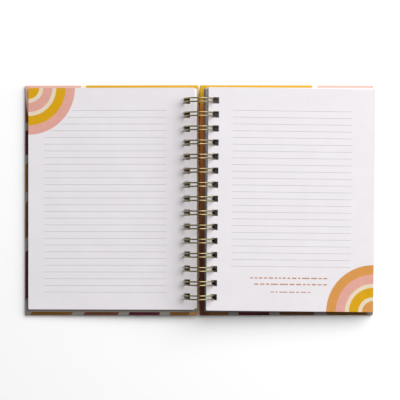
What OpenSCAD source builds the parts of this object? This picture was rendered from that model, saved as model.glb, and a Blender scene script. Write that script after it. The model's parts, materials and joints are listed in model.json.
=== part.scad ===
// Open notebook with two wrapped hard covers and a twin-loop wire binding.
// It lies open on a table: a thin stack of leaves on the left cover, a thick one on the right.
// Frame: X across the spread, Y up the page, Z up from the table.
// The loops' axis runs along Y at x = 0.

/* [Leaves] */
// Width of a leaf
leaf_w = 151.2; // [120:0.1:200]
// Height of a leaf
leaf_h = 201.6; // [150:0.1:260]
// Radius of a leaf's corners
leaf_corner_r = 1; // [0.5:0.5:5]
// Paper between a leaf's spine edge and its holes
leaf_hole_margin = 3.8; // [3:0.1:5]
// Thickness of the leaves turned to the left
left_stack_t = 2; // [1:0.1:3]
// Number of bundles drawn in the right stack
bundle_count = 9; // [4:1:10]
// Thickness of one bundle of leaves
bundle_t = 1.2; // [0.8:0.1:1.4]
// Turn of the top leaf about the loops, from lying loose on them
leaf_skew = 0.7; // [0:0.1:0.8]
// Paper between the end of the row of holes and the leaf's top or bottom, at least
row_end_margin = 8; // [6:0.5:12]

/* [Covers] */
// Thickness of the board inside a cover
board_t = 2.4; // [1.8:0.1:3]
// Thickness of the printed wrap round a board
wrap_t = 0.2; // [0.15:0.05:0.3]
// Thickness of the white liner inside a cover
liner_t = 0.2; // [0.15:0.05:0.3]
// Width of the wrap that is turned in over the inside
turn_in = 15; // [10:0.5:18]
// Radius of a cover's corners
cover_corner_r = 1.2; // [0.5:0.1:3]
// Cover that shows above the leaves
border_top = 2.45; // [1:0.05:8]
// Cover that shows below the leaves
border_bottom = 5.45; // [1:0.05:8]
// Cover that shows past the left leaves' fore-edge
border_fore = 3.2; // [1:0.1:8]
// Wrap that shows round the liner on three sides
liner_border = 3; // [2:0.5:8]
// Radius of a liner's corners
liner_corner_r = 1; // [0.5:0.5:3]
// Wrap that shows at the front cover's spine edge
front_liner_gap = 1.2; // [0.5:0.1:5]
// Wrap that shows at the back cover's spine edge
back_liner_gap = 3.6; // [0.5:0.1:5]
// Half of the space between the two covers
cover_half_gap = 0.95; // [0.8:0.05:2]
// Cover between its spine edge and its holes
cover_hole_margin = 7.4; // [6:0.1:9]

/* [Binding] */
// Distance from one hole to the next
hole_pitch = 12.7; // [11:0.1:16]
// Side of a square punched hole
hole_side = 5.8; // [5.6:0.1:6.4]
// Thickness of the wire
wire_d = 1.3; // [1:0.1:1.5]
// Distance between the two strands of a loop
strand_gap = 3.2; // [2.8:0.1:3.6]
// Radius of the wire's bends at the root of each loop
root_bend_r = 1.6; // [1.2:0.1:2]
// Place of the root round the loop, in degrees from straight down
root_turn = 33; // [28:1:36]

/* [Clearances] */
// Wire to the strips of cover and paper that it holds
ring_clear = 0.15; // [0.1:0.05:0.4]
// A stack of leaves to the cover it lies on
seat_gap = 0.2; // [0.1:0.05:0.4]
// The two stacks to each other when the notebook is shut
shut_gap = 0.6; // [0.4:0.1:1.5]
// Tip of a loop to the bends of its own root
tip_clear = 0.25; // [0.2:0.05:0.6]

/* [Print] */
// Distance from one ruled line to the next
rule_pitch = 6.12; // [5:0.01:9]
// Width of a ruled line
rule_w = 0.25; // [0.2:0.05:0.5]
// Top of a leaf to the first ruled line
rule_top = 20.6; // [12:0.1:30]
// Last line to the bottom of a left leaf, at least
left_rule_bottom = 13; // [8:1:30]
// Last line to the bottom of a right leaf, at least
right_rule_bottom = 40; // [30:1:60]
// Spine edge of a left leaf to its lines
left_rule_start = 25.3; // [15:0.1:30]
// Spine edge of a right leaf to its lines
right_rule_start = 22.1; // [15:0.1:30]
// Lines to the fore-edge of a left leaf
left_rule_end = 14.4; // [10:0.1:25]
// Lines to the fore-edge of a right leaf
right_rule_end = 20.9; // [10:0.1:25]
// Radius of the field in the corner of a leaf
core_r = 10; // [6:0.5:12]
// Width of a cream band
cream_w = 3.5; // [2:0.5:4]
// Width of a coloured band
band_w = 8.5; // [5:0.5:9]
// Space that the lines leave round the bands
band_space = 2.5; // [1:0.5:5]
// Thickness of the print
ink_t = 0.05; // [0.04:0.01:0.08]

/* [Hidden] */

// A bundle reaches this far into the one above it
lap = 0.02;
// Cutters run past the faces they cut by this much
past = 1;
// The wire's long stretches run this far into the bends that join them
run_on = 0.05;
// The wire is a hair thicker in its tight bends, where it is squeezed
bend_extra = 0.1;
bend_d = wire_d + bend_extra;
// The least radius of a corner that is set in from another
least_r = 0.2;
// Facets in a full turn of a corner, a corner band, the wire's profile and its bends
corner_fn = 48;
band_fn = 96;
wire_fn = 16;
bend_fn = 36;

// The row of holes and the leaves are centred on this line, the covers on y = 0
bind_y = (border_bottom - border_top) / 2;
hole_count = floor((leaf_h - 2 * row_end_margin - hole_side) / hole_pitch) + 1;
row_half = (hole_count - 1) * hole_pitch / 2;

// Distances from the loops' axis, square to a cover
right_stack_t = bundle_count * bundle_t;
inner_face = (left_stack_t + right_stack_t + shut_gap) / 2 + seat_gap;
cover_t = board_t + 2 * wrap_t + liner_t;
outer_face = inner_face + cover_t;
stack_base = seat_gap - inner_face;

// Distances from the loops' axis, along a cover
hole_in = cover_half_gap + cover_hole_margin;
left_edge = hole_in - leaf_hole_margin;
fore_x = left_edge + leaf_w + border_fore;
cover_w = fore_x - cover_half_gap;
cover_h = leaf_h + border_top + border_bottom;

// The loops clear the lower corner of the covers' spine strips, and rest on the table
ring_in = norm([hole_in, outer_face]) + ring_clear;
ring_r = ring_in + wire_d / 2;
axis_z = ring_in + wire_d;
tilt = asin(axis_z / norm([fore_x, outer_face])) - atan2(outer_face, fore_x);

// A loop's tip lies in the flare of its own root
strand_y = strand_gap / 2;
root_x = strand_y + root_bend_r;
tip_back = sqrt(pow(root_x + bend_d + tip_clear, 2) - pow(root_x, 2));
tip_turn = root_turn - tip_back / ring_r * 180 / PI;
root_run = hole_pitch - 2 * root_x;

// Outer radii of the bands in a leaf's corner, from the corner outwards
band_r = [core_r, core_r + cream_w, core_r + cream_w + band_w, core_r + 2 * cream_w + band_w,
    core_r + 2 * cream_w + 2 * band_w, core_r + 2 * cream_w + 3 * band_w];
left_inks = ["mustard", "cream", "pink", "cream", "mustard", "pink"];
right_inks = ["orange", "cream", "mustard", "cream", "pink", "orange"];
print_r = band_r[len(band_r) - 1];

function hole_y(i) = bind_y - row_half + i * hole_pitch;
// Far side, from the axis, of the bundle that starts at height z
function far_side(z) = max(abs(z), abs(z + bundle_t + lap));
function bundle_z(i) = stack_base + i * bundle_t;
function bundle_skew(i) = leaf_skew * pow(i / (bundle_count - 1), 2);
// The bundles' spine strips follow the inside of the loops, with room to lie askew
function bundle_edge(i) = sqrt(pow(ring_in - ring_clear, 2) - pow(far_side(bundle_z(i)), 2))
    - row_half * sin(leaf_skew) - leaf_hole_margin;

module on_right() translate([0, 0, axis_z]) rotate([0, tilt, 0]) children();
module on_left() mirror([1, 0, 0]) on_right() children();

// Rectangle from x = 0, centred on y = 0, with round corners
module rounded_rect(w, h, r) {
    translate([r, -h / 2]) square([w - 2 * r, h]);
    translate([0, r - h / 2]) square([w, h - 2 * r]);
    for (x = [r, w - r], y = [r - h / 2, h / 2 - r]) translate([x, y]) circle(r, $fn = corner_fn);
}

// Row of square holes, whose spine side is at x
module hole_row(x) for (i = [0 : hole_count - 1])
    translate([x, hole_y(i) - hole_side / 2]) square(hole_side);

module leaf_outline() translate([0, bind_y]) rounded_rect(leaf_w, leaf_h, leaf_corner_r);

module punched_leaf(t) linear_extrude(t) difference() {
    leaf_outline();
    hole_row(leaf_hole_margin);
}

// Places a leaf or its print as bundle i of the right stack lies
module as_bundle(i) translate([0, bind_y, 0]) rotate([0, 0, -bundle_skew(i)])
    translate([bundle_edge(i), -bind_y, 0]) children();

module cover_block(low, high, inset) translate([cover_half_gap + inset, 0, low - outer_face])
    linear_extrude(high - low)
        rounded_rect(cover_w - 2 * inset, cover_h - 2 * inset, max(cover_corner_r - inset, least_r));

module cover_holes() translate([0, 0, -outer_face - past])
    linear_extrude(cover_t + 2 * past) hole_row(hole_in);

module board() difference() {
    cover_block(wrap_t, wrap_t + board_t, wrap_t);
    cover_holes();
}

// Paper round the board: the outside, the four edges and the turned-in frame
module wrap() difference() {
    cover_block(0, 2 * wrap_t + board_t, 0);
    cover_block(wrap_t, wrap_t + board_t, wrap_t);
    cover_block(wrap_t, 2 * wrap_t + board_t + past, turn_in);
    cover_holes();
}

// Paper over the turned-in frame, pressed down to the board inside it
module liner(spine_gap) difference() {
    union() {
        cover_block(wrap_t + board_t, 2 * wrap_t + board_t, turn_in);
        translate([cover_half_gap + spine_gap, 0, 2 * wrap_t + board_t - outer_face])
            linear_extrude(liner_t)
                rounded_rect(cover_w - spine_gap - liner_border, cover_h - 2 * liner_border,
                    liner_corner_r);
    }
    cover_holes();
}

// A stretch of wire bent to a radius, which runs on past both ends of its turn
module bent_wire(bend_r, turn, d, past_end = 0) {
    more = past_end / bend_r * 180 / PI;
    rotate([0, 0, -more]) rotate_extrude(angle = turn + 2 * more, $fn = bend_fn)
        translate([bend_r, 0]) circle(d = d, $fn = wire_fn);
}

// Lays a flat bend against the loops at an angle from straight down.
// The bend's X runs along Y, and its Y runs on round the loop.
module at_turn(turn, y) rotate([0, 90 - turn, 0]) translate([ring_r, y, 0])
    rotate(120, [1, 1, 1]) children();

module strand(y) translate([0, y, 0]) rotate([90, 0, 0]) rotate([0, 0, root_turn - 90])
    bent_wire(ring_r, 360 - root_turn + tip_turn, wire_d, run_on);

// The bend out of a strand at a loop's root
module root_bend() translate([root_x, 0, 0]) rotate([0, 0, 180])
    bent_wire(root_bend_r, 90, bend_d);

// The straight wire from one loop's root to the next
module root_wire(length) translate([root_x - run_on, -root_bend_r, 0]) rotate([0, 90, 0])
    cylinder(d = wire_d, h = length + 2 * run_on, $fn = wire_fn);

// Two strands that part at the root and meet in a round tip
module twin_loop(y) {
    for (side = [-1, 1]) strand(y + side * strand_y);
    for (side = [0, 1]) at_turn(root_turn, y) mirror([side, 0, 0]) root_bend();
    at_turn(tip_turn, y) bent_wire(strand_y, 180, bend_d);
}

module ruled_line(start, end, y) translate([start, y - rule_w / 2, 0]) cube([end - start, rule_w, ink_t]);

function rule_y(j) = bind_y + leaf_h / 2 - rule_top - j * rule_pitch;
function rule_count(bottom) = floor((leaf_h - rule_top - bottom) / rule_pitch) + 1;
// How far the corner bands reach in from the fore-edge, at a height off their corner
function band_reach(off) = off < print_r ? sqrt(pow(print_r, 2) - pow(off, 2)) + band_space : 0;
function line_end(end, off) = leaf_w - max(end, band_reach(off));

// The bands of one colour, round the leaf's fore-edge corner on the side up (1) or down (-1)
module corner_bands(inks, ink, side) for (k = [0 : len(inks) - 1]) if (inks[k] == ink)
    linear_extrude(ink_t) intersection() {
        leaf_outline();
        translate([leaf_w, bind_y + side * leaf_h / 2]) difference() {
            circle(band_r[k], $fn = band_fn);
            if (k > 0) circle(band_r[k - 1], $fn = band_fn);
        }
    }

module on_left_leaf() on_left() translate([left_edge, 0, stack_base + left_stack_t]) children();
module on_right_leaf() on_right() translate([0, 0, stack_base + right_stack_t])
    as_bundle(bundle_count - 1) children();

module back_wrap() { color("darkgoldenrod") on_right() wrap(); }
module back_board() { color("tan") on_right() board(); }
module back_liner() { color("whitesmoke") on_right() liner(back_liner_gap); }
module front_wrap() { color("goldenrod") on_left() wrap(); }
module front_board() { color("tan") on_left() board(); }
module front_liner() { color("whitesmoke") on_left() liner(front_liner_gap); }

module wire() {
    color([0.8, 0.68, 0.42]) translate([0, 0, axis_z]) {
        for (i = [0 : hole_count - 1]) twin_loop(hole_y(i));
        for (i = [0 : hole_count - 2]) at_turn(root_turn, hole_y(i)) root_wire(root_run);
        // The wire is cut off half way to the next loop at both ends of the row
        at_turn(root_turn, hole_y(hole_count - 1)) root_wire(root_run / 2);
        at_turn(root_turn, hole_y(0)) mirror([1, 0, 0]) root_wire(root_run / 2);
    }
}

module left_pages() {
    color("white") on_left() translate([left_edge, 0, stack_base]) punched_leaf(left_stack_t);
}

module right_pages() {
    color("white") on_right() for (i = [0 : bundle_count - 1]) translate([0, 0, bundle_z(i)])
        as_bundle(i) punched_leaf(bundle_t + (i < bundle_count - 1 ? lap : 0));
}

module left_rules() {
    color("silver") on_left_leaf() for (j = [0 : rule_count(left_rule_bottom) - 1])
        ruled_line(left_rule_start, line_end(left_rule_end, rule_top + j * rule_pitch), rule_y(j));
}

module right_rules() {
    color("silver") on_right_leaf() for (j = [0 : rule_count(right_rule_bottom) - 1])
        ruled_line(right_rule_start,
            line_end(right_rule_end, leaf_h - rule_top - j * rule_pitch), rule_y(j));
}

module left_corner_mustard() {
    color([0.83, 0.61, 0.08]) on_left_leaf() corner_bands(left_inks, "mustard", 1);
}

module left_corner_cream() {
    color([0.93, 0.87, 0.77]) on_left_leaf() corner_bands(left_inks, "cream", 1);
}

module left_corner_pink() {
    color([0.88, 0.66, 0.61]) on_left_leaf() corner_bands(left_inks, "pink", 1);
}

module right_corner_orange() {
    color([0.85, 0.6, 0.32]) on_right_leaf() corner_bands(right_inks, "orange", -1);
}

module right_corner_cream() {
    color([0.93, 0.87, 0.77]) on_right_leaf() corner_bands(right_inks, "cream", -1);
}

module right_corner_mustard() {
    color([0.83, 0.61, 0.08]) on_right_leaf() corner_bands(right_inks, "mustard", -1);
}

module right_corner_pink() {
    color([0.88, 0.66, 0.61]) on_right_leaf() corner_bands(right_inks, "pink", -1);
}

back_wrap();
back_board();
back_liner();
wire();
right_pages();
right_rules();
right_corner_orange();
right_corner_cream();
right_corner_mustard();
right_corner_pink();
front_wrap();
front_board();
front_liner();
left_pages();
left_rules();
left_corner_mustard();
left_corner_cream();
left_corner_pink();
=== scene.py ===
import json
import math
import random
import bpy
from mathutils import Matrix


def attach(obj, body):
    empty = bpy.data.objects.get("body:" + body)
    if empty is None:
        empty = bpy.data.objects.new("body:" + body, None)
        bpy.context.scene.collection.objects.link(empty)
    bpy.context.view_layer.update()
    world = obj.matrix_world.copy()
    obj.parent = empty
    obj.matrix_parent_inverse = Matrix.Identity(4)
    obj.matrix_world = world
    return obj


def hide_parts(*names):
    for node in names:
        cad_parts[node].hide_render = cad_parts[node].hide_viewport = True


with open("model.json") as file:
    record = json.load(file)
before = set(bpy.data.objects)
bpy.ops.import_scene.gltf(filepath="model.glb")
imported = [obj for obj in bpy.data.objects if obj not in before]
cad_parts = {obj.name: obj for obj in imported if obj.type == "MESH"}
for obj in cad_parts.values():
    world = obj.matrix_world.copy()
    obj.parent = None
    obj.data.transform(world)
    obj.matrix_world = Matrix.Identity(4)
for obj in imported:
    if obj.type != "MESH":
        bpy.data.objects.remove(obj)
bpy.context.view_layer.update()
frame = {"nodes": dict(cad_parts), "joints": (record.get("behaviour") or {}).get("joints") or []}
mm = 0.001
random.seed(7)

# Open notebook on a twin-loop wire, seen from straight above.
# Sizes are in millimetres and mm turns them into metres.
# Each half of the spread lies in a frame of its own: the origin is on the loops' axis,
# the cover is flat below it, and the whole half is tilted a little so its fore-edge rests.

# sizes that several pieces share, the same as in the part's source
book = {
    "leafW": 151.2, "leafH": 201.6, "leafMargin": 3.8,
    "leftStack": 2.0, "rightStack": 10.8, "seatGap": 0.2, "shutGap": 0.6,
    "boardAndWrap": 2.8, "liner": 0.2, "halfGap": 0.95, "coverMargin": 7.4,
    "borderTop": 2.45, "borderBottom": 5.45, "borderFore": 3.2,
    "holeSide": 5.8, "holePitch": 12.7, "holeCount": 15,
    "wireD": 1.3, "ringClear": 0.15,
}

axisZ = frame["joints"][0]["pos_m"][2] / mm
holeIn = book["halfGap"] + book["coverMargin"]  # spine side of the holes in a cover
# how far a cover's two faces lie below the axis
innerFace = (book["leftStack"] + book["rightStack"] + book["shutGap"]) / 2 + book["seatGap"]
outerFace = innerFace + book["boardAndWrap"] + book["liner"]
# the loops, at the inside and at the middle of the wire
ringIn = math.hypot(holeIn, outerFace) + book["ringClear"]
ringR = ringIn + book["wireD"] / 2
leftEdge = holeIn - book["leafMargin"]
foreX = leftEdge + book["leafW"] + book["borderFore"]
coverW = foreX - book["halfGap"]
coverH = book["leafH"] + book["borderTop"] + book["borderBottom"]
bindY = (book["borderBottom"] - book["borderTop"]) / 2  # middle of the leaves and of the row
rowHalf = (book["holeCount"] - 1) * book["holePitch"] / 2
stackBase = book["seatGap"] - innerFace
tilt = math.asin(axisZ / math.hypot(foreX, outerFace)) - math.atan2(outerFace, foreX)

left, right = -1, 1  # the two sides of the spread


def halfFrame(side):
    # places a piece of the left or the right half, tilted about the loops' axis
    return Matrix.Translation((0, 0, axisZ * mm)) @ Matrix.Rotation(side * tilt, 4, "Y")


def skewBy(angle):
    # turns a leaf flat on its stack, about the middle of its bound edge
    about = Matrix.Translation((0, bindY * mm, 0))
    return about @ Matrix.Rotation(-angle, 4, "Z") @ about.inverted()


# modelling steps that several pieces use

punch = {"over": 1, "corner": 0.3, "cornerSteps": 2}  # the cutters stand out over both faces
smoothBelow = math.radians(35)  # edges blunter than this are shaded smooth
wallSlope = 0.3  # an upright face's normal rises less than this


def deselectAll():
    if bpy.context.object and bpy.context.object.mode != "OBJECT":
        bpy.ops.object.mode_set(mode="OBJECT")
    bpy.ops.object.select_all(action="DESELECT")


def setActive(piece):
    deselectAll()
    piece.select_set(True)
    bpy.context.view_layer.objects.active = piece


def bakePlace(piece):
    setActive(piece)
    bpy.ops.object.transform_apply(location=True, rotation=True, scale=True)


def applyModifier(piece, kind, **values):
    setActive(piece)
    modifier = piece.modifiers.new(kind.lower(), kind)
    for name, value in values.items():
        setattr(modifier, name, value)
    bpy.ops.object.modifier_apply(modifier=modifier.name)


def selectEdges(piece, wanted):
    # goes into edit mode with the edges whose two ends pass the test
    setActive(piece)
    bpy.ops.object.mode_set(mode="EDIT")
    bpy.ops.mesh.select_mode(type="EDGE")
    bpy.ops.mesh.select_all(action="DESELECT")
    bpy.ops.object.mode_set(mode="OBJECT")
    points = piece.data.vertices
    for edge in piece.data.edges:
        edge.select = wanted(points[edge.vertices[0]].co, points[edge.vertices[1]].co)
    bpy.ops.object.mode_set(mode="EDIT")


def isWall(face):
    # tells upright faces from flat ones
    return abs(face.normal.z) < wallSlope


def joinPieces(pieces, name):
    deselectAll()
    for piece in pieces:
        piece.select_set(True)
    bpy.context.view_layer.objects.active = pieces[0]
    bpy.ops.object.join()
    pieces[0].name = name
    return pieces[0]


def copyPiece(piece, matrix):
    # a copy with a mesh of its own, moved by the matrix
    new = piece.copy()
    new.data = piece.data.copy()
    bpy.context.scene.collection.objects.link(new)
    new.data.transform(matrix)
    return new


def removePiece(piece):
    mesh = piece.data
    bpy.data.objects.remove(piece)
    bpy.data.meshes.remove(mesh)


def roundedSlab(name, side, near, width, centreY, height, low, thick, corner, cornerSteps):
    # a flat board or sheet on one half of the spread, with its upright corners rounded
    deselectAll()
    middle = (side * (near + width / 2) * mm, centreY * mm, (low + thick / 2) * mm)
    bpy.ops.mesh.primitive_cube_add(size=1, location=middle)
    slab = bpy.context.object
    slab.name = name
    slab.scale = (width * mm, height * mm, thick * mm)
    bakePlace(slab)
    selectEdges(slab, lambda a, b: abs(a.z - b.z) > thick * mm / 2)
    bpy.ops.mesh.bevel(offset=corner * mm, segments=cornerSteps, affect="EDGES")
    bpy.ops.object.mode_set(mode="OBJECT")
    return slab


def punchHoles(piece, side, near, low, high):
    # punches the row of square holes with a row of square cutters
    first = roundedSlab("punch", side, near, book["holeSide"], bindY - rowHalf, book["holeSide"],
                        low - punch["over"], high - low + 2 * punch["over"],
                        punch["corner"], punch["cornerSteps"])
    row = [first] + [copyPiece(first, Matrix.Translation((0, i * book["holePitch"] * mm, 0)))
                     for i in range(1, book["holeCount"])]
    cutter = joinPieces(row, "punch")
    applyModifier(piece, "BOOLEAN", operation="DIFFERENCE", object=cutter, solver="EXACT")
    removePiece(cutter)


def finishPiece(piece, side, body, slotName, nodes, *materials):
    if side:
        piece.data.transform(halfFrame(side))
    for material in materials:
        piece.data.materials.append(material)
    setActive(piece)
    bpy.ops.object.shade_smooth_by_angle(angle=smoothBelow)
    if nodes:
        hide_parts(*nodes)
    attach(piece, body)


# materials: a grain is a noise's turns a metre and its detail, a bump its depth and strength

grainSpan = (0.3, 0.7)  # most of a noise's values lie in here


def newMaterial(name, colour, roughness=0.5, metallic=0.0, specular=0.5):
    material = bpy.data.materials.new(name)
    material.use_nodes = True
    shader = material.node_tree.nodes["Principled BSDF"]
    shader.inputs["Base Color"].default_value = (*colour, 1)
    shader.inputs["Roughness"].default_value = roughness
    shader.inputs["Metallic"].default_value = metallic
    shader.inputs["Specular IOR Level"].default_value = specular
    return material, shader


def addNode(material, kind, **values):
    made = material.node_tree.nodes.new(kind)
    for name, value in values.items():
        setattr(made, name, value)
    return made


def plug(material, value, socket):
    # a socket takes a link, a number or a colour
    if isinstance(value, (int, float)):
        socket.default_value = value
    elif isinstance(value, tuple):
        socket.default_value = (*value, 1)
    else:
        material.node_tree.links.new(value, socket)


def objectPoint(material, stretch=None):
    point = addNode(material, "ShaderNodeTexCoord").outputs["Object"]
    if stretch:
        mapping = addNode(material, "ShaderNodeMapping")
        mapping.inputs["Scale"].default_value = stretch
        plug(material, point, mapping.inputs["Vector"])
        point = mapping.outputs["Vector"]
    return point


def splitPoint(material):
    # X, Y and Z of a place on the piece
    split = addNode(material, "ShaderNodeSeparateXYZ")
    plug(material, objectPoint(material), split.inputs["Vector"])
    return split.outputs


def mapRange(material, value, span, low=0.0, high=1.0):
    # from low at the start of the span to high at its end
    spread = addNode(material, "ShaderNodeMapRange")
    for name, number in (("From Min", span[0]), ("From Max", span[1]),
                         ("To Min", low), ("To Max", high)):
        spread.inputs[name].default_value = number
    plug(material, value, spread.inputs["Value"])
    return spread.outputs["Result"]


def fadeOver(material, value, places):
    # from 0 at the first place to 1 at the second
    return mapRange(material, value, (places[0] * mm, places[1] * mm))


def noise(material, grain, low=0.0, high=1.0, stretch=None):
    # noise in the piece's own place, spread over low to high
    made = addNode(material, "ShaderNodeTexNoise")
    made.inputs["Scale"].default_value, made.inputs["Detail"].default_value = grain
    plug(material, objectPoint(material, stretch), made.inputs["Vector"])
    return mapRange(material, made.outputs["Fac"], grainSpan, low, high)


def calc(material, operation, a, b=None):
    made = addNode(material, "ShaderNodeMath", operation=operation)
    plug(material, a, made.inputs[0])
    if b is not None:
        plug(material, b, made.inputs[1])
    return made.outputs[0]


def mixColours(material, share, a, b):
    # the colour sockets of the mix node are its inputs 6 and 7 and its output 2
    made = addNode(material, "ShaderNodeMix", data_type="RGBA")
    plug(material, share, made.inputs[0])
    plug(material, a, made.inputs[6])
    plug(material, b, made.inputs[7])
    return made.outputs[2]


def plainFields(material, value, *stops):
    # a colour ramp of plain fields, each from its place to the next
    ramp = addNode(material, "ShaderNodeValToRGB")
    ramp.color_ramp.interpolation = "CONSTANT"
    for i, (place, colour) in enumerate(stops):
        stop = ramp.color_ramp.elements[i] if i < 2 else ramp.color_ramp.elements.new(place)
        stop.position = place
        stop.color = (*colour, 1)
    plug(material, value, ramp.inputs["Fac"])
    return ramp.outputs["Color"]


def addBump(material, shader, grain, depth, strength):
    bump = addNode(material, "ShaderNodeBump")
    bump.inputs["Distance"].default_value = depth * mm
    bump.inputs["Strength"].default_value = strength
    plug(material, noise(material, grain), bump.inputs["Height"])
    plug(material, bump.outputs["Normal"], shader.inputs["Normal"])


paper = {"clouds": (60, 3), "fibres": (2600, 6), "fibreBump": (0.02, 0.5), "specular": 0.25}


def paperMaterial(name, colour, shade, roughness):
    # uncoated paper: a little cloudy in colour, with fine fibres in the bump
    material, shader = newMaterial(name, colour, roughness, specular=paper["specular"])
    cloudy = noise(material, paper["clouds"])
    plug(material, mixColours(material, cloudy, shade, colour), shader.inputs["Base Color"])
    addBump(material, shader, paper["fibres"], *paper["fibreBump"])
    return material


# studio: a camera that looks straight down, two soft lamps and a pale table

studio = {
    "cameraX": 0.8, "cameraY": 0.3, "cameraUp": 1400, "lens": 137.8, "sensor": 36, "nearest": 10,
    "worldLight": 0.21,
    "keyAt": (1400, 1410, 2020), "keySize": 3200, "keyPower": 117,
    "sideAt": (2400, 200, 650), "sideSize": 1600, "sidePower": 10,
    "floor": (0.985, 0.985, 0.985), "floorSize": 16000, "floorRoughness": 0.9,
    "floorSpecular": 0.1,
}


def addCamera():
    lens = bpy.data.cameras.new("camera")
    lens.lens = studio["lens"]
    lens.sensor_width = studio["sensor"]
    lens.clip_start = studio["nearest"] * mm
    camera = bpy.data.objects.new("camera", lens)
    camera.location = (studio["cameraX"] * mm, studio["cameraY"] * mm, studio["cameraUp"] * mm)
    bpy.context.scene.collection.objects.link(camera)
    bpy.context.scene.camera = camera


def addLamp(name):
    # a round soft lamp that faces the notebook
    lamp = bpy.data.lights.new(name, "AREA")
    lamp.shape = "DISK"
    lamp.size = studio[name + "Size"] * mm
    lamp.energy = studio[name + "Power"]
    placed = bpy.data.objects.new(name, lamp)
    placed.location = [value * mm for value in studio[name + "At"]]
    placed.rotation_euler = placed.location.to_track_quat("Z", "Y").to_euler()
    bpy.context.scene.collection.objects.link(placed)


def addLights():
    scene = bpy.context.scene
    scene.view_settings.view_transform = "Standard"
    world = bpy.data.worlds.new("studio")
    world.use_nodes = True
    background = world.node_tree.nodes["Background"]
    background.inputs["Color"].default_value = (1, 1, 1, 1)
    background.inputs["Strength"].default_value = studio["worldLight"]
    scene.world = world
    addLamp("key")
    addLamp("side")


def addFloor():
    deselectAll()
    bpy.ops.mesh.primitive_plane_add(size=studio["floorSize"] * mm)
    floor = bpy.context.object
    floor.name = "floor"
    material, _ = newMaterial("palePaintedTable", studio["floor"], studio["floorRoughness"],
                              specular=studio["floorSpecular"])
    floor.data.materials.append(material)


addCamera()
addLights()
addFloor()
print("studio ready")


# covers: a grey board wrapped in printed paper, its edges a little rounded
# centreY, disc, ring and halo: the rings' centre, then where cream, pink and rays begin
# rayTurn: degrees from ray to ray; intoBand and bandFade: from one Y to another

cover = {
    "corner": 1.2, "cornerSteps": 5, "edge": 0.5, "edgeSteps": 3,
    "holeEdge": 0.12, "holeEdgeSteps": 2, "holeEdgeAngle": 70, "aroundHoles": 0.1,
}
wrapPrint = {
    "centreY": 105, "farthest": 400, "disc": 103, "ring": 107, "halo": 158.5,
    "rayTurn": 9.7, "gapShare": 0.25, "spineBand": 9, "intoBand": (97, 82), "bandFade": (80, -50),
    "gold": (0.65, 0.375, 0.015), "cream": (0.85, 0.76, 0.62), "pink": (0.76, 0.45, 0.38),
    "stone": (0.2, 0.18, 0.16), "ochre": (0.14, 0.06, 0.009), "maroon": (0.055, 0.005, 0.01),
    "brown": (0.1, 0.034, 0.012), "rust": (0.55, 0.14, 0.01), "umber": (0.105, 0.026, 0.01),
    "tan": (0.34, 0.17, 0.055),
    "specular": 0.1, "wear": (90, 5), "mostWorn": 0.015,
    "gloss": (220, 3), "roughness": (0.4, 0.52), "grain": (1800, 5), "bump": (0.02, 0.35),
}
greyBoard = {
    "pale": (0.27, 0.23, 0.18), "dark": (0.15, 0.12, 0.09), "roughness": 0.9, "specular": 0.15,
    "layers": (900, 4), "layerStretch": (0.3, 0.3, 3), "grain": (1500, 5), "bump": (0.06, 0.7),
}


def wrapMaterial():
    # plain rings about the spine's top end, and plain rays outside them
    material, shader = newMaterial("printedWrap", wrapPrint["gold"],
                                   specular=wrapPrint["specular"])
    point = splitPoint(material)
    across = calc(material, "ABSOLUTE", point["X"])
    down = calc(material, "SUBTRACT", wrapPrint["centreY"] * mm, point["Y"])
    squares = calc(material, "ADD", calc(material, "MULTIPLY", across, across),
                   calc(material, "MULTIPLY", down, down))
    farthest = wrapPrint["farthest"]
    radius = calc(material, "DIVIDE", calc(material, "SQRT", squares), farthest * mm)
    rings = plainFields(material, radius, (0, wrapPrint["gold"]),
                        (wrapPrint["disc"] / farthest, wrapPrint["cream"]),
                        (wrapPrint["ring"] / farthest, wrapPrint["pink"]))
    rayNames = ("ochre", "maroon", "brown")
    gapAt = (1 - wrapPrint["gapShare"]) / len(rayNames)
    rayStops = []
    for i, ray in enumerate(rayNames):
        rayStops.append((i / len(rayNames), wrapPrint[ray]))
        rayStops.append((i / len(rayNames) + gapAt, wrapPrint["stone"]))
    turn = calc(material, "DIVIDE", calc(material, "ARCTAN2", across, down),
                math.radians(len(rayNames) * wrapPrint["rayTurn"]))
    rays = plainFields(material, calc(material, "FRACT", turn), *rayStops)
    outside = calc(material, "GREATER_THAN", radius, wrapPrint["halo"] / farthest)
    design = mixColours(material, outside, rings, rays)
    # a plain printed band down the spine edge: tan on the front, rust on the back that fades to
    # umber downwards, the fade a painted shade of the stack and the loops over it
    fade = fadeOver(material, point["Y"], wrapPrint["bandFade"])
    band = mixColours(material, calc(material, "LESS_THAN", point["X"], 0.0),
                      mixColours(material, fade, wrapPrint["rust"], wrapPrint["umber"]),
                      wrapPrint["tan"])
    onBand = calc(material, "MULTIPLY", fadeOver(material, point["Y"], wrapPrint["intoBand"]),
                  calc(material, "LESS_THAN", across, wrapPrint["spineBand"] * mm))
    design = mixColours(material, onBand, design, band)
    worn = noise(material, wrapPrint["wear"], high=wrapPrint["mostWorn"])
    plug(material, mixColours(material, worn, design, wrapPrint["cream"]),
         shader.inputs["Base Color"])
    plug(material, noise(material, wrapPrint["gloss"], *wrapPrint["roughness"]),
         shader.inputs["Roughness"])
    addBump(material, shader, wrapPrint["grain"], *wrapPrint["bump"])
    return material


def boardMaterial():
    # grey board laid bare in the walls of the holes
    material, shader = newMaterial("greyBoard", greyBoard["pale"], greyBoard["roughness"],
                                   specular=greyBoard["specular"])
    layers = noise(material, greyBoard["layers"], stretch=greyBoard["layerStretch"])
    plug(material, mixColours(material, layers, greyBoard["dark"], greyBoard["pale"]),
         shader.inputs["Base Color"])
    addBump(material, shader, greyBoard["grain"], *greyBoard["bump"])
    return material


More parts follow.
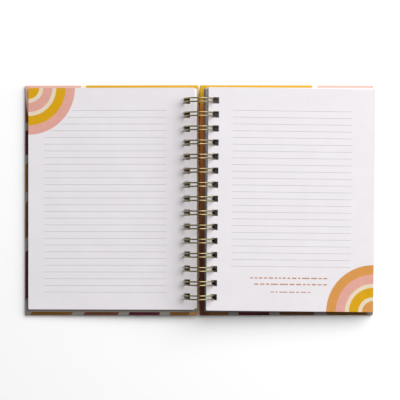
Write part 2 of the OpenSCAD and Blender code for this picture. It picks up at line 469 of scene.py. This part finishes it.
def makeCover(name, side, body, nodes):
    low, high = -outerFace, -outerFace + book["boardAndWrap"]
    piece = roundedSlab(name, side, book["halfGap"], coverW, 0, coverH, low,
                        book["boardAndWrap"], cover["corner"], cover["cornerSteps"])
    selectEdges(piece, lambda a, b: abs(a.z - b.z) < book["boardAndWrap"] * mm / 2)
    bpy.ops.mesh.bevel(offset=cover["edge"] * mm, segments=cover["edgeSteps"], affect="EDGES")
    punchHoles(piece, side, holeIn, low, high)
    rowFrom = (holeIn - cover["aroundHoles"]) * mm
    rowTo = (holeIn + book["holeSide"] + cover["aroundHoles"]) * mm
    rowEnd = (rowHalf + book["holePitch"]) * mm
    for face in piece.data.polygons:
        inRow = rowFrom < side * face.center.x < rowTo and abs(face.center.y) < rowEnd
        face.material_index = 1 if inRow and isWall(face) else 0
    applyModifier(piece, "BEVEL", width=cover["holeEdge"] * mm, segments=cover["holeEdgeSteps"],
                  limit_method="ANGLE", angle_limit=math.radians(cover["holeEdgeAngle"]))
    finishPiece(piece, side, body, "printed_wrap", nodes, coverWrap, coverBoard)


coverWrap = wrapMaterial()
coverBoard = boardMaterial()
makeCover("backCover", right, "back_cover", ["back_wrap", "back_board"])
makeCover("frontCover", left, "front_cover", ["front_wrap", "front_board"])
print("covers made")


# liners: white paper pasted inside the covers
# foot and gutter: the Y or X where the painted shade begins, and where it is full

liner = {
    "frontGap": 1.2, "backGap": 3.6, "border": 3, "corner": 1, "cornerSteps": 3, "paste": 0.05,
    "paper": (0.86, 0.85, 0.84), "shade": (0.82, 0.81, 0.8), "roughness": 0.7,
    "foot": (-97.5, -99), "gutter": (7.6, 6.2), "paintedShadeColour": (0.2, 0.175, 0.165),
}


def linerMaterial():
    # white paper, with painted shade along its foot and beside the back cover's holes
    material = paperMaterial("linerPaper", liner["paper"], liner["shade"], liner["roughness"])
    colour = material.node_tree.nodes["Principled BSDF"].inputs["Base Color"]
    clean = colour.links[0].from_socket
    point = splitPoint(material)
    # painted shade: darker beside the back cover's holes and along the foot, where the leaves and
    # the wire shade the liner
    gutter = calc(material, "MULTIPLY", fadeOver(material, point["X"], liner["gutter"]),
                  calc(material, "GREATER_THAN", point["X"], 0.0))
    paintedShade = calc(material, "MAXIMUM", gutter, fadeOver(material, point["Y"], liner["foot"]))
    plug(material, mixColours(material, paintedShade, clean, liner["paintedShadeColour"]), colour)
    return material


def makeLiner(name, side, body, nodes, gap):
    low = -innerFace - book["liner"] - liner["paste"]
    piece = roundedSlab(name, side, book["halfGap"] + gap, coverW - gap - liner["border"], 0,
                        coverH - 2 * liner["border"], low, book["liner"] + liner["paste"],
                        liner["corner"], liner["cornerSteps"])
    punchHoles(piece, side, holeIn, low, -innerFace)
    finishPiece(piece, side, body, "liner_paper", nodes, linerPaper)


linerPaper = linerMaterial()
makeLiner("backLiner", right, "back_cover", ["back_liner"], liner["backGap"])
makeLiner("frontLiner", left, "front_cover", ["front_liner"], liner["frontGap"])
print("liners made")


# leaves: one is modelled and punched, and the stacks are copies, each a little out of line

leaf = {
    "pitch": 0.2, "thick": 0.184, "corner": 1, "cornerSteps": 4,
    "skew": 0.7, "slide": 0.35, "drift": 0.15,  # degrees, then the most across and along
    "paper": (0.79, 0.76, 0.79), "shade": (0.765, 0.735, 0.765), "roughness": 0.8,
    # the leaves' cut walls: the same paper coloured darker, a painted shade for the stack's edges
    "edgeShade": (0.62, 0.59, 0.58), "cutRoughness": 0.9,
}


def leafEdge(low):
    # the leaves' spine edges follow the inside of the loops
    far = max(abs(low), abs(low + leaf["pitch"]))
    reach = math.sqrt((ringIn - book["ringClear"]) ** 2 - far ** 2)
    return reach - rowHalf * math.sin(math.radians(leaf["skew"])) - book["leafMargin"]


def makeStack(name, side, body, nodes, height, edgeAt, topSkew):
    first = roundedSlab("leaf", side, 0, book["leafW"], bindY, book["leafH"], 0, leaf["thick"],
                        leaf["corner"], leaf["cornerSteps"])
    punchHoles(first, side, book["leafMargin"], 0, leaf["thick"])
    # the walls take the second, darker paper: painted shade on the stack's edges
    for face in first.data.polygons:
        face.material_index = 1 if isWall(face) else 0
    count = round(height / leaf["pitch"])
    leaves = []
    for i in range(count):
        low = stackBase + i * leaf["pitch"]
        top = i == count - 1
        slide = 0 if top else random.uniform(-leaf["slide"], 0)
        drift = 0 if top else random.uniform(-leaf["drift"], leaf["drift"])
        place = Matrix.Translation((side * (edgeAt(low) + slide) * mm, drift * mm,
                                    (low + leaf["pitch"] - leaf["thick"]) * mm))
        turn = skewBy(math.radians(topSkew) * (i / (count - 1)) ** 2)
        leaves.append(copyPiece(first, turn @ place))
    removePiece(first)
    piece = joinPieces(leaves, name)
    finishPiece(piece, side, body, "page_paper", nodes, pagePaper, shadedEdgePaper)


pagePaper = paperMaterial("pagePaper", leaf["paper"], leaf["shade"], leaf["roughness"])
# the page paper made darker for the cut walls: painted shade
shadedEdgePaper = paperMaterial("shadedEdgePaper", leaf["edgeShade"], leaf["edgeShade"], leaf["cutRoughness"])
makeStack("rightLeaves", right, "right_leaves", ["right_pages"], book["rightStack"], leafEdge,
          leaf["skew"])
makeStack("leftLeaves", left, "front_cover", ["left_pages"], book["leftStack"],
          lambda low: leftEdge, 0)
print("leaves made")


# print on the leaves: the ruled lines and corner bands are the part's own fields of colour

inks = {
    "grey": (0.40, 0.40, 0.42), "mustard": (0.68, 0.36, 0.003), "cream": (0.77, 0.66, 0.49),
    "pink": (0.73, 0.37, 0.31), "orange": (0.67, 0.30, 0.075), "dash": (0.53, 0.28, 0.18),
}
inkFinish = {
    "roughness": 0.7, "specular": 0.08, "drift": (140, 3), "darker": 0.93,
    "specks": (3800, 2), "speckSpread": (-1.6, 0.5), "speckPale": 0.25, "bareSheet": 0.9,
    "bump": (0.02, 0.4),
}


def inkMaterial(name, colour):
    # flat print: the paper shows through in specks, and the tone drifts a little
    material, shader = newMaterial(name, colour, inkFinish["roughness"],
                                   specular=inkFinish["specular"])
    darker = tuple(inkFinish["darker"] * part for part in colour)
    tone = mixColours(material, noise(material, inkFinish["drift"]), darker, colour)
    lighter = tuple(part + inkFinish["speckPale"] * (inkFinish["bareSheet"] - part)
                    for part in colour)
    specks = noise(material, inkFinish["specks"], *inkFinish["speckSpread"])
    plug(material, mixColours(material, calc(material, "MAXIMUM", specks, 0.0), tone, lighter),
         shader.inputs["Base Color"])
    addBump(material, shader, paper["fibres"], *inkFinish["bump"])
    return material


inkMaterials = {name: inkMaterial(name + "Ink", colour) for name, colour in inks.items()}
for nodeName, inkName in (
        ("left_rules", "grey"), ("right_rules", "grey"),
        ("left_corner_mustard", "mustard"), ("left_corner_cream", "cream"),
        ("left_corner_pink", "pink"), ("right_corner_orange", "orange"),
        ("right_corner_cream", "cream"), ("right_corner_mustard", "mustard"),
        ("right_corner_pink", "pink")):
    for inkSlot in frame["nodes"][nodeName].material_slots:
        inkSlot.material = inkMaterials[inkName]


# three rows of plain dashes low on the right page, each row with its place, length and height

dashes = {
    "middleX": 83.5, "rows": ((-69.4, 73, 1.2), (-75.0, 66, 1.2), (-82.0, 36, 0.9)),
    "space": 1.3, "shortest": 2.2, "longest": 7.6, "thick": 0.05, "round": 0.4, "roundSteps": 3,
}


def makeDash(start, length, y, height):
    deselectAll()
    bpy.ops.mesh.primitive_plane_add(size=1, location=((start + length / 2) * mm, y * mm, 0))
    dash = bpy.context.object
    dash.scale = (length * mm, height * mm, 1)
    bakePlace(dash)
    bpy.ops.object.mode_set(mode="EDIT")
    bpy.ops.mesh.select_all(action="SELECT")
    bpy.ops.mesh.bevel(offset=dashes["round"] * height * mm, segments=dashes["roundSteps"],
                       affect="VERTICES")
    bpy.ops.mesh.select_all(action="SELECT")
    up = {"value": (0, 0, dashes["thick"] * mm)}
    bpy.ops.mesh.extrude_region_move(TRANSFORM_OT_translate=up)
    bpy.ops.mesh.select_all(action="SELECT")
    bpy.ops.mesh.normals_make_consistent(inside=False)
    bpy.ops.object.mode_set(mode="OBJECT")
    return dash


def makeDashRows():
    made = []
    for y, length, height in dashes["rows"]:
        at = dashes["middleX"] - length / 2
        end = dashes["middleX"] + length / 2
        while at < end - dashes["shortest"]:
            run = min(random.uniform(dashes["shortest"], dashes["longest"]), end - at)
            made.append(makeDash(at, run, y, height))
            at += run + dashes["space"]
    piece = joinPieces(made, "pageDashes")
    piece.data.transform(Matrix.Translation((0, 0, (stackBase + book["rightStack"]) * mm)))
    piece.data.transform(skewBy(math.radians(leaf["skew"])))
    finishPiece(piece, right, "right_leaves", "orange_ink", [], inkMaterials["dash"])


makeDashRows()
print("print on the leaves ready")


# twin-loop wire: one loop is bent from a round profile, copied along the row and welded
# strandGap: between a pair's strands; rootTurn: the root's place, degrees from straight down

wire = {
    "strandGap": 3.2, "rootBend": 1.6, "bendD": 1.4, "rootTurn": 33, "tipClear": 0.25,
    "profile": 12, "bendSteps": 6, "loopSteps": 64, "tipSteps": 10, "weld": 0.01,
    "gold": (0.42, 0.355, 0.195), "goldDark": (0.26, 0.21, 0.1), "tone": (400, 3),
    "polish": (700, 3), "roughness": (0.2, 0.3), "marks": (3000, 3), "bump": (0.01, 0.3),
}


def spinOn(centre, axis, degrees, stepCount):
    # carries the selected ring on round an axis, with the right hand's turn
    bpy.ops.mesh.spin(steps=stepCount, angle=-math.radians(degrees),
                      center=[value * mm for value in centre], axis=axis, use_auto_merge=False)


def outward(degrees):
    # the way from the loops' axis to a place on the loop, in degrees from straight down
    turn = math.radians(degrees)
    return math.sin(turn), math.cos(turn)


def bendLoop():
    strandY, bend, half = wire["strandGap"] / 2, wire["rootBend"], book["holePitch"] / 2
    rootY = strandY + bend
    tipBack = math.sqrt((rootY + wire["bendD"] + wire["tipClear"]) ** 2 - rootY ** 2)
    rootTurn = wire["rootTurn"]
    tipTurn = rootTurn - math.degrees(tipBack / ringR)
    rootOut, rootDown = outward(rootTurn)
    tipOut, tipDown = outward(tipTurn)
    rootAt = (ringR * rootOut, axisZ - ringR * rootDown)
    tipAt = (ringR * tipOut, axisZ - ringR * tipDown)
    rootAxis, tipAxis = (rootOut, 0, -rootDown), (-tipOut, 0, tipDown)
    # the root's straight stretch lies one bend radius back along the loop
    start = ((rootAt[0] - bend * rootDown) * mm, -half * mm, (rootAt[1] - bend * rootOut) * mm)
    deselectAll()
    bpy.ops.mesh.primitive_circle_add(vertices=wire["profile"], radius=book["wireD"] / 2 * mm,
                                      location=start, rotation=(math.pi / 2, 0, 0))
    loop = bpy.context.object
    bakePlace(loop)
    bpy.ops.object.mode_set(mode="EDIT")
    bpy.ops.mesh.select_mode(type="VERT")
    bpy.ops.mesh.select_all(action="SELECT")
    straight = {"value": (0, (half - rootY) * mm, 0)}
    bpy.ops.mesh.extrude_region_move(TRANSFORM_OT_translate=straight)
    spinOn((rootAt[0], -rootY, rootAt[1]), rootAxis, 90, wire["bendSteps"])
    spinOn((0, 0, axisZ), (0, -1, 0), 360 - rootTurn + tipTurn, wire["loopSteps"])
    spinOn((tipAt[0], 0, tipAt[1]), tipAxis, 180, wire["tipSteps"])
    spinOn((0, 0, axisZ), (0, 1, 0), 360 - rootTurn + tipTurn, wire["loopSteps"])
    spinOn((rootAt[0], rootY, rootAt[1]), rootAxis, 90, wire["bendSteps"])
    bpy.ops.mesh.extrude_region_move(TRANSFORM_OT_translate=straight)
    bpy.ops.object.mode_set(mode="OBJECT")
    return loop


def wireMaterial():
    # satin gold lacquer on steel wire, with faint drawing marks
    material, shader = newMaterial("goldLacquer", wire["gold"], metallic=1.0)
    tone = mixColours(material, noise(material, wire["tone"]), wire["goldDark"], wire["gold"])
    plug(material, tone, shader.inputs["Base Color"])
    plug(material, noise(material, wire["polish"], *wire["roughness"]),
         shader.inputs["Roughness"])
    addBump(material, shader, wire["marks"], *wire["bump"])
    return material


def makeWire():
    first = bendLoop()
    row = []
    for i in range(book["holeCount"]):
        along = bindY - rowHalf + i * book["holePitch"]
        row.append(copyPiece(first, Matrix.Translation((0, along * mm, 0))))
    removePiece(first)
    piece = joinPieces(row, "twinLoopWire")
    setActive(piece)
    bpy.ops.object.mode_set(mode="EDIT")
    bpy.ops.mesh.select_all(action="SELECT")
    bpy.ops.mesh.remove_doubles(threshold=wire["weld"] * mm)
    # the wire's two open ends get a face each
    bpy.ops.mesh.select_all(action="DESELECT")
    bpy.ops.mesh.select_non_manifold()
    bpy.ops.mesh.edge_face_add()
    bpy.ops.mesh.select_all(action="SELECT")
    bpy.ops.mesh.normals_make_consistent(inside=False)
    bpy.ops.object.mode_set(mode="OBJECT")
    finishPiece(piece, 0, "back_cover", "binding_wire", ["wire"], wireMaterial())


makeWire()
print("wire made")
